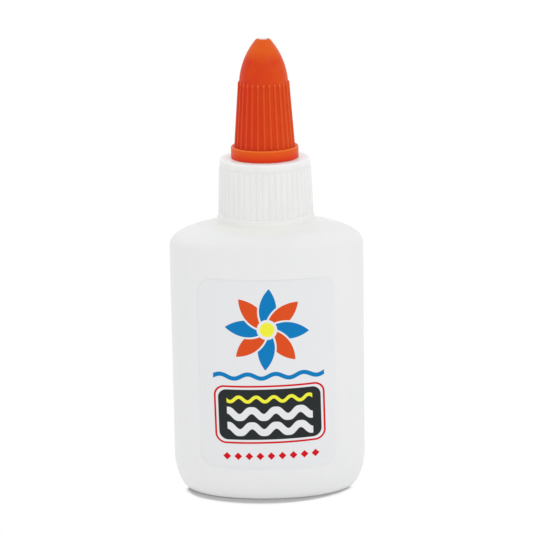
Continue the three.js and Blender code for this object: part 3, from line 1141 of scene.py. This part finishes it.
orangePlastic = {
    "orange": (0.71, 0.078, 0.006, 1),
    # a deeper orange, used for random mottling and for painted shade
    "deepToneAndShade": (0.67, 0.034, 0.007, 1),
    # the flange is painted lighter at its top, with painted shade of deeper red towards its foot
    "flange": (0.79, 0.1, 0.006, 1),
    "flangeFoot": (0.76, 0.036, 0.007, 1),
    # painted highlight colour for the rib crests, the rib tops and the flange's top edge
    "worn": (0.9, 0.26, 0.06, 1),
    "domeTopLight": (0.745, 0.105, 0.009, 1),  # painted light: the dome's top is lighter orange
    "sideShadeSlope": 0.045,  # painted shade: the orange deepens towards the left, by this much in a millimetre
    "roughness": 0.37,
    "grain": 0.0018,
    "sink": 0.006,
}


def makeOrangePlastic():
    look = orangePlastic
    material, shader, place = startMaterial("nozzle_plastic", {"IOR": 1.49, "Specular IOR Level": 0.12})
    x, y, z = place.axes()
    radius = hypot(x, y)
    slope = (nozzle["gripFoot"] - nozzle["gripTop"]) / nozzle["gripHeight"]
    relief = radius - (nozzle["gripFoot"] - (z - flangeTop) * slope)  # height over the rib valleys
    grip = z.above(flangeTop - 0.1, flangeTop + 0.3) * z.below(gripTop + 0.84, gripTop + 1.24)
    crest = relief.above(0.16, 0.26) * grip
    groove = relief.below(0.03, 0.16) * grip
    mottle = place.cloud(0.35, 3) * 0.6 + place.stretched(1, 1, 0.15).cloud(1.2) * 0.4
    # random mottling, plus painted shade towards the left
    mottleAndSideShade = mottle * 0.5 + (0.5 - x * look["sideShadeSlope"]) * 0.5
    colour = mottleAndSideShade.above(0.28, 0.72).tint(look["orange"], look["deepToneAndShade"])
    # painted shade in the rib grooves
    colour = (groove * 0.35).tint(colour, look["deepToneAndShade"])
    # painted light: the dome's top is lighter
    colour = z.above(gripTop + 5, gripTop + 8).tint(colour, look["domeTopLight"])
    # painted light and shade on the flange: lighter at its top, deeper red towards its foot
    flangeLightAndShade = z.below(nozzleFoot, flangeTop - 0.3).tint(look["flange"], look["flangeFoot"])
    colour = (z.below(flangeTop - 0.1, flangeTop) * (0.75 + mottle * 0.4)).least(1).tint(colour, flangeLightAndShade)
    # painted highlights on the rib crests, the rib tops and the flange's top edge, uneven in strength
    highlightStrength = 0.6 + place.cloud(3, 3).above(0.45, 0.7) * 0.4
    edge = (z - flangeTop).size().below(0.05, 0.35) * radius.above(nozzleHigh.y - 0.5, nozzleHigh.y - 0.2)
    ribTopHighlight = crest * z.above(gripTop + 0.44, gripTop + 0.94)
    colour = ((crest * 0.17 + ribTopHighlight * 0.5 + edge * 0.8) * highlightStrength).least(1).tint(colour, look["worn"])
    roughness = look["roughness"] + place.cloud(2, 3) * 0.1 - crest * 0.05 + groove * 0.08
    height = place.cloud(6) * look["grain"] + place.cloud(0.7) * look["sink"]
    feed(shader, colour, roughness, height)
    return material


makeNozzle(makeOrangePlastic())


# Floor, world and lamps

white = (1, 1, 1, 1)
studio = {
    "floorSize": 3000,
    "floorDrop": 0.05,
    "floorColour": (0.97, 0.97, 0.97, 1),
    "paintedShadowColour": (0.55, 0.55, 0.55, 1),
    "floorGlow": 0.065,  # the paper glows faintly and so lights the bottle from below; the camera doesn't see the glow
    "paintedShadowReach": (2.3, 4.0),  # painted shadow: the paper is darker near the base and turns pale between these distances from it
    "shadowReach": (2.5, 4.1),  # and plain white between these
    "shadowNarrow": 1.66,  # the shadow falls forward, so it is narrower than the base
    "shadowShift": (-0.98, 0.16),  # and it lies a little to the left, away from the key
    "shadowEnd": (-20.5, -14.5),  # it thins out over these x at its left end
    "shadowBack": (-5, -1),  # and over these y towards the back
    "shadowThinning": 2.2,
    "hole": (0.9, 0.94),  # an opening under the base, as shares of its outline
    "worldLight": 0.814,
}
lamps = {  # place and size in millimetres, power in watts
    "key": ((420, -520, 560), 260, 0.68),
    "topLeft": ((-350, 80, 620), 400, 0.42),
    "topRight": ((350, 80, 620), 400, 0.23),
    "topBack": ((0, 300, 640), 400, 0.39),
}


def makePaper():
    material = bpy.data.materials.new("floor_paper")
    material.use_nodes = True
    tree = material.node_tree
    tree.nodes.remove(tree.nodes["Principled BSDF"])
    base, seen = Wire(tree), raysThatSee(tree)
    glowing = lambda strength: base.node("ShaderNodeEmission", {}, {"Color": white, "Strength": strength})
    x, y = placeOnPiece(tree).axes()[:2]
    baseX, baseY = halfWidth - bottle["heelInset"], halfDepth - bottle["heelInset"]
    aside, along = x - studio["shadowShift"][0], y - studio["shadowShift"][1]
    outward = hypot(aside / (baseX - studio["shadowNarrow"]), along / baseY)  # 1 at its edge
    away = (outward - 1) * hypot(aside, along) / outward.most(0.01)
    thinning = x.below(*studio["shadowEnd"]) + y.above(*studio["shadowBack"])
    away = away + thinning * studio["shadowThinning"]
    # painted shadow: the paper's colour darkens near the base
    paintedShadow = seen * away.below(*studio["paintedShadowReach"])
    colour = paintedShadow.tint(studio["floorColour"], studio["paintedShadowColour"])
    paper = base.node("ShaderNodeBsdfDiffuse", {}, {"Color": colour})
    lit = base.node("ShaderNodeAddShader", {}, {0: paper, 1: glowing(studio["floorGlow"])})
    plain = seen * away.above(*studio["shadowReach"])
    surface = plain.blend(seen.blend(lit, paper), glowing(1))
    hole = ((x / baseX) ** 2 + (y / baseY) ** 2).below(*studio["hole"])  # lets light reach the base
    below = base.node("ShaderNodeNewGeometry", {}, {}, "Backfacing")
    clear = base.node("ShaderNodeBsdfTransparent", {}, {})
    shown = below.most(hole).blend(surface, clear)
    tree.links.new(shown.socket, tree.nodes["Material Output"].inputs["Surface"])
    return material


def makeFloor(material):
    half = studio["floorSize"] / 2
    corners = [(-half, -half), (half, -half), (half, half), (-half, half)]
    mesh = bpy.data.meshes.new("floor")
    mesh.from_pydata([Vector((x, y, -studio["floorDrop"])) / mm for x, y in corners], [], [(0, 1, 2, 3)])
    mesh.materials.append(material)
    floor = addObject("floor", mesh)
    print("floor laid")


def makeWorld():
    world = bpy.data.worlds.new("studio")
    world.use_nodes = True
    tree = world.node_tree
    base = Wire(tree)
    shine = lambda strength: base.node("ShaderNodeBackground", {}, {"Color": white, "Strength": strength})
    sky = raysThatSee(tree).blend(shine(studio["worldLight"]), shine(1))
    tree.links.new(sky.socket, tree.nodes["World Output"].inputs["Surface"])
    bpy.context.scene.world = world


def addLamp(name, place, size, power):
    light = bpy.data.lights.new(name, "AREA")
    light.shape = "SQUARE"
    light.size = size / mm
    light.energy = power
    lamp = addObject(name, light)
    aim = Vector((0, 0, (bodyHigh.z + bodyLow.z) / 2))
    lamp.location = Vector(place) / mm
    lamp.rotation_euler = (aim - Vector(place)).to_track_quat("-Z", "Y").to_euler()


makeFloor(makePaper())
makeWorld()
for name, (place, size, power) in lamps.items():
    addLamp(name, place, size, power)
bpy.context.scene.view_settings.view_transform = "Standard"
print("studio lit")
